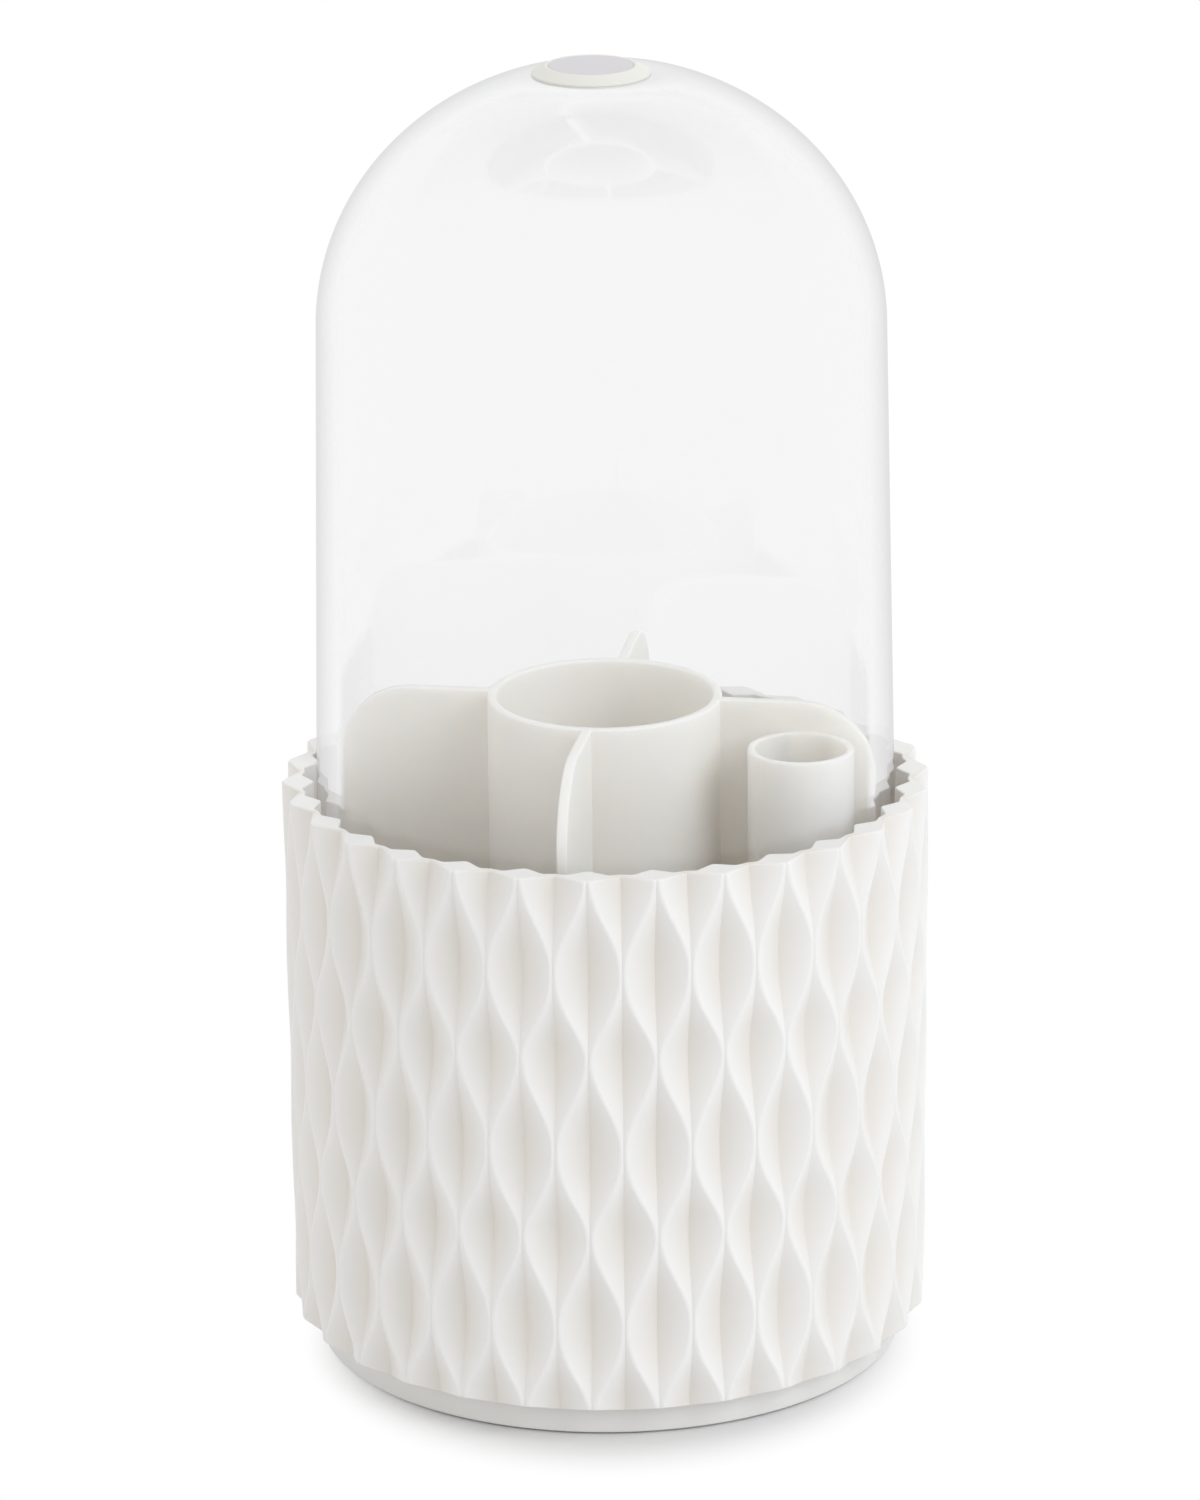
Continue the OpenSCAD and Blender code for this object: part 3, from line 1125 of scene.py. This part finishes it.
@dataclass
class ClearDome:
    """The tall clear lid: a thin shell with an elliptic crown and a flat seat."""

    foot_r: float = 62.65
    foot_z: float = 115.0
    taper: float = 0.019
    crown_z: float = 228.0
    crown_rise: float = 56.3
    wall: float = 1.6
    seat_r: float = 16.0
    seat_blend: float = 4.0
    edge_round: float = 0.5
    edge_rise: float = 2.0
    crown_steps: int = 60
    side_steps: int = 6

    @property
    def crown_r(self) -> float:
        """The radius where the crown's curve starts."""
        return self.foot_r - self.taper * (self.crown_z - self.foot_z)

    @property
    def seat_z(self) -> float:
        """The height of the flat on top."""
        return self.crown_z + self.crown_rise * math.sin(math.acos(self.seat_r / self.crown_r))

    def crown(self, wall: float, top_z: float) -> list[Corner]:
        """Makes the straight side, the crown's curve and its blend into the flat.

        Args:
            wall: How far the curve lies inside the outer one.
            top_z: The height of the flat.

        Returns:
            The curve's points; the last one is the corner that is rounded into the flat.
        """
        rise, radius = self.crown_rise - wall, self.crown_r - wall
        end_r = (self.seat_r + self.seat_blend) * radius / self.crown_r
        last = math.acos(end_r / radius)
        heights = np.linspace(self.foot_z + self.edge_rise, self.crown_z, self.side_steps + 1)
        side = [(radius + self.taper * (self.crown_z - z), z, 0.0) for z in heights[:-1]]
        curve = [
            (radius * math.cos(t), self.crown_z + rise * math.sin(t), 0.0)
            for t in np.linspace(0, last, self.crown_steps + 1)
        ]
        slope = math.atan(rise / radius / math.tan(last))
        climb = top_z - curve[-1][1]
        blend = climb / math.sin(slope) / math.tan(slope / 2)
        return side + curve + [(end_r - climb / math.tan(slope), top_z, blend)]

    def build(self, paints: Paintbox) -> None:
        """Turns the dome's wall about the axis.

        Args:
            paints: The finished materials.
        """
        under_z = self.seat_z - self.wall
        corners = [
            (self.foot_r - self.wall, self.foot_z, self.edge_round),
            (self.foot_r, self.foot_z, self.edge_round),
            *self.crown(0.0, self.seat_z),
            (0.0, self.seat_z, 0.0),
            (0.0, under_z, 0.0),
            *reversed(self.crown(self.wall, under_z)),
        ]
        piece = lathe("clear_dome_shell", corners, 384, round_steps=8)
        smooth(piece, angle=40.0)
        paints.finish(piece, "dome_clear", Body.LID, "dome")


@dataclass
class Badge:
    """The round badge on the dome: a sloped band with a disc let into its top."""

    seat_z: float
    radius: float = 12.6
    thickness: float = 1.8
    foot_h: float = 0.4
    slope_w: float = 2.9
    lip_w: float = 0.7
    inlay_t: float = 0.6
    inlay_gap: float = 0.05
    offset: float = 1.7
    edge_round: float = 0.35
    groove: float = 0.1

    def build(self, paints: Paintbox) -> None:
        """Turns the band and the disc, and moves them to their place.

        Args:
            paints: The finished materials.
        """
        top = self.seat_z + self.thickness
        bed = top - self.inlay_t
        top_r = self.radius - self.slope_w
        inlay_r = top_r - self.lip_w
        bed_r = inlay_r + self.inlay_gap
        band = [
            (0.0, self.seat_z, 0.0),
            (self.radius, self.seat_z, self.groove),
            (self.radius, self.seat_z + self.foot_h, self.groove),
            (top_r, top, self.edge_round),
            (bed_r, top, self.groove),
            (bed_r, bed, 0.0),
            (0.0, bed, 0.0),
        ]
        disc = [(0.0, bed, 0.0), (inlay_r, bed, 0.0), (inlay_r, top, self.groove), (0.0, top, 0.0)]
        for name, corners, slot, node in (
            ("badge_band", band, "badge_cream", "badge_base"),
            ("badge_disc", disc, "badge_lavender", "badge_inlay"),
        ):
            piece = lathe(name, corners, 128)
            piece.data.transform(Matrix.Translation((-self.offset * MM, 0, 0)))
            smooth(piece)
            paints.finish(piece, slot, Body.LID, node)


@dataclass
class Divider:
    """The lift-out divider: floor, centre cup, radial walls and lipstick cup."""

    floor_z: float = 20.73
    floor_t: float = 2.0
    floor_r: float = 59.4
    floor_round: float = 0.4
    top_z: float = 146.0
    cup_r: float = 25.3
    cup_wall: float = 2.0
    vane_r: float = 58.8
    vane_t: float = 2.3
    vane_count: int = 4
    vane_turn: float = -9.0
    vane_corner: float = 16.5
    vane_step: float = 0.05
    stick_r: float = 11.2
    stick_wall: float = 1.5
    stick_top_z: float = 139.4
    stick_dist: float = 45.3
    stick_lap: float = 0.8
    edge: float = 0.35
    lip: float = 0.6
    bed_round: float = 1.2
    cut_above: float = 4.0
    corner_steps: int = 28
    edge_steps: int = 3
    cup_steps: int = 128

    @property
    def bed_z(self) -> float:
        """The height of the floor's top."""
        return self.floor_z + self.floor_t

    @property
    def root_z(self) -> float:
        """The height inside the floor from which cups and walls rise."""
        return self.floor_z + self.floor_t / 2

    def _post(self, name: str, radius: float, top: float) -> Piece:
        """Turns the solid body of a cup, with a rounded lip.

        Args:
            name: The name of the new object.
            radius: The cup's outer radius.
            top: The height of its lip.

        Returns:
            The solid.
        """
        low = self.root_z
        corners = [(0, low, 0), (radius, low, 0), (radius, top, self.lip), (0, top, 0)]
        return lathe(name, corners, self.cup_steps)

    def _bore(self, name: str, radius: float, top: float) -> Piece:
        """Turns the hollow of a cup, which flares over its lip and rounds at its bed.

        Args:
            name: The name of the new object.
            radius: The cup's inner radius.
            top: The height of its lip.

        Returns:
            The solid to cut out.
        """
        corners = [(0, self.bed_z, 0), (radius, self.bed_z, self.bed_round)]
        for t in np.linspace(0, math.pi / 2, 5):
            flare, sunk = self.lip * (1 - math.cos(t)), self.lip * (1 - math.sin(t))
            corners.append((radius + flare, top - sunk, 0))
        above = top + self.cut_above
        corners += [(radius + self.lip, above, 0), (0.0, above, 0)]
        return lathe(name, corners, self.cup_steps)

    def _vane(self) -> Piece:
        """Shapes one radial wall, with its outer top corner and its edges rounded.

        Returns:
            The wall, along +X.
        """
        root, low = self.cup_r - self.cup_wall / 2, self.root_z
        top = self.top_z - self.vane_step
        size = np.array((self.vane_r - root, self.vane_t, top - low))
        middle = np.array(((self.vane_r + root) / 2, 0, (top + low) / 2))
        only()
        bpy.ops.mesh.primitive_cube_add(size=1, location=middle * MM, scale=size * MM)
        wall = named(bpy.context.object, "divider_wall")
        bpy.ops.object.transform_apply(location=True, rotation=True, scale=True)
        with editing(wall) as mesh:
            for edge in mesh.edges:
                along, _, height = zip(*(v.co for v in edge.verts))
                edge.select_set(near(along, self.vane_r * MM) and near(height, top * MM))
            corner = self.vane_corner * MM
            bpy.ops.mesh.bevel(offset=corner, segments=self.corner_steps, affect="EDGES")
        side = self.vane_t / 2 * MM
        with editing(wall) as mesh:
            for edge in mesh.edges:
                along, across, height = zip(*(v.co for v in edge.verts))
                on_side = near(across, side) or near(across, -side)
                hidden = near(height, low * MM) or near(along, root * MM)
                edge.select_set(on_side and not hidden)
            bpy.ops.mesh.bevel(offset=self.edge * MM, segments=self.edge_steps, affect="EDGES")
        return wall

    def build(self, paints: Paintbox) -> None:
        """Joins floor, cups and walls into one moulding and hollows the cups.

        Args:
            paints: The finished materials.
        """
        floor = [
            (0, self.floor_z, 0),
            (self.floor_r, self.floor_z, self.floor_round),
            (self.floor_r, self.bed_z, self.floor_round),
            (0, self.bed_z, 0),
        ]
        piece = lathe("ivory_divider", floor, 192)
        reach = self.stick_r + self.vane_t / 2 - self.stick_lap
        stick_turn = self.vane_turn - math.degrees(math.asin(reach / self.stick_dist))
        place = (self.stick_dist, 0.0, 0.0)

        combine(piece, self._post("cup_body", self.cup_r, self.top_z), "UNION")
        wall = self._vane()
        for index in range(self.vane_count):
            turn = self.vane_turn + 360.0 / self.vane_count * index
            combine(piece, placed(copied(wall), turn), "UNION")
        bpy.data.objects.remove(wall)
        stick = self._post("stick_body", self.stick_r, self.stick_top_z)
        combine(piece, placed(stick, stick_turn, place), "UNION")
        combine(piece, self._bore("cup_bore", self.cup_r - self.cup_wall, self.top_z), "DIFFERENCE")
        bore = self._bore("stick_bore", self.stick_r - self.stick_wall, self.stick_top_z)
        combine(piece, placed(bore, stick_turn, place), "DIFFERENCE")
        weld(piece, distance=0.0005)
        smooth(piece, angle=32.0)
        # Painted shade: the divider gets darker and warmer towards its floor.
        share = (spots(piece)[:, 2] / MM - self.floor_z) / (self.top_z - self.floor_z)
        mark_painted_shade(piece, 1 - share)
        paints.finish(piece, "divider_ivory", Body.DIVIDER, "insert")


@dataclass
class Foot:
    """The standing foot, with the lower ball race, the pivot's hub and the pads."""

    gap: float = 0.4
    radius: float = 63.7
    rim_z: float = 11.1
    wall: float = 2.0
    floor_z: float = 3.2
    race_in: float = 41.0
    race_out: float = 51.0
    race_z: float = 6.63
    race_r: float = 46.0
    ball_z: float = 8.28
    groove_r: float = 3.08
    hub_r: float = 12.0
    hub_z: float = 9.0
    bore_r: float = 6.06
    shoulder_z: float = 4.6
    washer_bore_r: float = 9.2
    edge_round: float = 0.5
    pad_r: float = 5.0
    pad_play: float = 0.1
    pad_depth: float = 1.4
    pad_round: float = 0.35
    pad_dist: float = 52.7
    pad_count: int = 4
    pad_turn: float = 45.0
    pocket_round: float = 0.15
    groove_round: float = 0.1
    small_steps: int = 64

    # The step in a pad's underside: how far past the pad's edge, and how high
    PAD_STEP = ((-1.3, 0), (-1.5, 0.25), (-1.1, 0.25), (-0.9, 0))

    def _outline(self) -> list[Corner]:
        """Draws the foot's half section, with the ball groove in its race.

        Returns:
            The corners of the closed outline.
        """
        drop = self.ball_z - self.race_z
        half = math.sqrt(self.groove_r**2 - drop**2)
        start = math.atan2(-drop, half)
        groove = []
        for t in np.linspace(start, -math.pi - start, 13):
            reach, rise = self.groove_r * math.cos(t), self.groove_r * math.sin(t)
            groove.append((self.race_r + reach, self.ball_z + rise, 0.0))
        inner = self.radius - self.wall
        return [
            (self.washer_bore_r, self.gap, 0.2),
            (self.radius, self.gap, self.edge_round),
            (self.radius, self.rim_z, 0.4),
            (inner, self.rim_z, 0.4),
            (inner, self.floor_z, 0.8),
            (self.race_out, self.floor_z, 0.5),
            (self.race_out, self.race_z, 0.3),
            *groove,
            (self.race_in, self.race_z, 0.3),
            (self.race_in, self.floor_z, 0.5),
            (self.hub_r, self.floor_z, 0.8),
            (self.hub_r, self.hub_z, 0.4),
            (self.bore_r, self.hub_z, 0.3),
            (self.bore_r, self.shoulder_z, 0.0),
            (self.washer_bore_r, self.shoulder_z, 0.0),
        ]

    def build(self, paints: Paintbox) -> None:
        """Turns the foot, sinks the pad pockets and makes the pads.

        Args:
            paints: The finished materials.
        """
        foot = lathe("round_foot", self._outline(), 256)
        top, reach = self.gap + self.pad_depth, self.pad_r + self.pad_play
        sunk = [(0, -1, 0), (reach, -1, 0), (reach, top, self.pocket_round), (0, top, 0)]
        pocket = lathe("pad_pocket", sunk, self.small_steps)
        cushion = [
            (0, 0, 0),
            *((self.pad_r + past, z, self.groove_round) for past, z in self.PAD_STEP),
            (self.pad_r, 0, self.pad_round),
            (self.pad_r, top, 0),
            (0, top, 0),
        ]
        pad = lathe("rubber_pad", cushion, self.small_steps)
        copies = []
        for index in range(self.pad_count):
            turn = self.pad_turn + 360.0 / self.pad_count * index
            place = (self.pad_dist, 0.0, 0.0)
            combine(foot, placed(copied(pocket), turn, place), "DIFFERENCE")
            copies.append(placed(copied(pad), turn, place))
        for extra in (pocket, pad):
            bpy.data.objects.remove(extra)
        only(*copies)
        bpy.ops.object.join()
        pads = named(bpy.context.object, "rubber_pads")
        smooth(foot)
        smooth(pads)
        paints.finish(foot, "foot_white", Body.BASE, "base_foot")
        paints.finish(pads, "pad_rubber", Body.BASE, "foot_pads")


@dataclass(frozen=True)
class Turntable:
    """The works under the tub, whose CAD solids stay and get their finishes."""

    slots: tuple[tuple[str, str], ...] = (
        ("tub_floor", "inner_white"),
        ("turntable_plate", "inner_white"),
        ("plate_screws", "screw_steel"),
        ("pivot_screw", "screw_steel"),
        ("pivot_washer", "washer_steel"),
        ("ball_cage", "cage_plastic"),
        ("bearing_balls", "ball_steel"),
    )

    def build(self, paints: Paintbox) -> None:
        """Paints the CAD nodes.

        Args:
            paints: The finished materials.
        """
        for node, slot in self.slots:
            paints.paint(frame["nodes"][node], slot)
            log.info("%s: painted %s", node, slot)


# Studio


@dataclass(frozen=True)
class Lamp:
    """One soft square lamp that points at the object.

    Attributes:
        name: The lamp's name.
        place: Where it hangs, in metres.
        size: The length of its side in metres.
        power: Its power in watts.
        colour: The tint of its light.
        aim: The place that it points at, in metres.
    """

    name: str
    place: Corner
    size: float
    power: float
    colour: Colour
    aim: Corner = (0.0, 0.0, 0.13)

    def hang(self) -> None:
        """Hangs the lamp."""
        data = bpy.data.lights.new(self.name, "AREA")
        data.shape, data.size = "SQUARE", self.size
        data.energy, data.color = self.power, self.colour
        lamp = bpy.data.objects.new(self.name, data)
        bpy.context.scene.collection.objects.link(lamp)
        lamp.location = self.place
        lamp.visible_glossy = lamp.visible_transmission = False
        lamp.rotation_mode = "QUATERNION"
        lamp.rotation_quaternion = (Vector(self.aim) - Vector(self.place)).to_track_quat("-Z", "Y")


@dataclass
class Studio:
    """The plain floor, the soft lamps and the camera."""

    target_z: float = 127.44
    elevation: float = 18.63
    distance: float = 1594.0
    lens: float = 176.98
    sensor: float = 36.0
    clip: tuple[float, float] = (0.05, 30.0)
    roll: float = -0.51
    shift_x: float = -0.0036
    shift_y: float = 0.0159
    ambient: float = 0.7
    ambient_colour: Colour = (1.0, 0.992, 0.976)
    floor_size: float = 12.0
    floor_colour: Colour = (0.82, 0.815, 0.81)
    shown_colour: Colour = (0.8, 0.8, 0.8)
    shadow_centre: Corner = (0.87, -9.5, 0.0)
    shadow_squeeze: float = 1.124
    shadow_in: float = 56.4
    shadow_out: float = 77.9
    lamps: tuple[Lamp, ...] = (
        Lamp("key_lamp", (1.85, -1.25, 1.6), 1.8, 32.0, (0.93, 0.965, 1.0)),
        Lamp("fill_lamp", (-2.45, -0.9, 0.7), 2.0, 12.0, (1.0, 0.97, 0.93)),
        Lamp("back_lamp", (0.4, 2.2, 2.2), 2.0, 9.6, (1.0, 1.0, 1.0)),
    )

    def camera(self) -> None:
        """Places the camera at the photo's angle."""
        data = bpy.data.cameras.new("photo_camera")
        data.lens, data.sensor_width = self.lens, self.sensor
        data.shift_x, data.shift_y = self.shift_x, self.shift_y
        data.clip_start, data.clip_end = self.clip
        camera = bpy.data.objects.new("photo_camera", data)
        bpy.context.scene.collection.objects.link(camera)
        turn = math.radians(self.elevation)
        back = Vector((0.0, -math.cos(turn), math.sin(turn)))
        camera.location = Vector((0, 0, self.target_z * MM)) + back * self.distance * MM
        roll = Matrix.Rotation(math.radians(self.roll), 3, "Z").to_quaternion()
        camera.rotation_mode = "QUATERNION"
        camera.rotation_quaternion = (-back).to_track_quat("-Z", "Y") @ roll
        bpy.context.scene.camera = camera

    def world(self) -> None:
        """Fills the room with plain soft light, and shows it white behind the object."""
        world = bpy.data.worlds.new("plain_room")
        graph = emptied(world)
        light = graph.add("Background", Color=(*self.ambient_colour, 1), Strength=self.ambient)
        white = graph.add("Background", Color=(1, 1, 1, 1), Strength=1.0)
        mix = graph.either(graph.backdrop_rays(), light.outputs[0], white.outputs[0])
        graph.show(mix, "OutputWorld")
        bpy.context.scene.world = world

    def floor(self) -> None:
        """Lays the pale floor, which fades to plain white away from the object."""
        only()
        bpy.ops.mesh.primitive_plane_add(size=self.floor_size)
        floor = named(bpy.context.object, "pale_floor")
        material = bpy.data.materials.new("pale_floor")
        graph = emptied(material)
        matt = graph.add("BsdfDiffuse", Color=(*self.floor_colour, 1))
        bright = graph.add("BsdfDiffuse", Color=(*self.shown_colour, 1))
        white = graph.add("Emission", Color=(1, 1, 1, 1), Strength=1.0)
        stretch = graph.add("Mapping", Scale=(self.shadow_squeeze, 1.0, 1.0))
        graph.link(graph.add("TexCoord").outputs["Object"], stretch.inputs["Vector"])
        away = graph.add("VectorMath", operation="DISTANCE")
        graph.link(stretch.outputs["Vector"], away.inputs[0])
        away.inputs[1].default_value = Vector(self.shadow_centre) * MM
        ends = (self.shadow_in * MM, self.shadow_out * MM)
        far = graph.mask(away.outputs["Value"], *ends, ramp="SMOOTHSTEP")
        shown = graph.either(far, bright.outputs[0], white.outputs[0])
        graph.show(graph.either(graph.backdrop_rays(), matt.outputs[0], shown))
        floor.data.materials.append(material)

    def build(self) -> None:
        """Sets up the whole studio."""
        bpy.context.scene.view_settings.view_transform = "Standard"
        self.camera()
        self.world()
        self.floor()
        for lamp in self.lamps:
            lamp.hang()


def main() -> None:
    """Builds the studio and every sub-assembly in order."""
    logging.basicConfig(level=logging.INFO, format="%(name)s: %(message)s")
    Studio().build()
    paints = Paintbox(Effects())
    dome = ClearDome()
    for assembly in (Foot(), Turntable(), ReliefTub(), Divider(), dome, Badge(dome.seat_z)):
        assembly.build(paints)


if __name__ == "__main__":
    main()
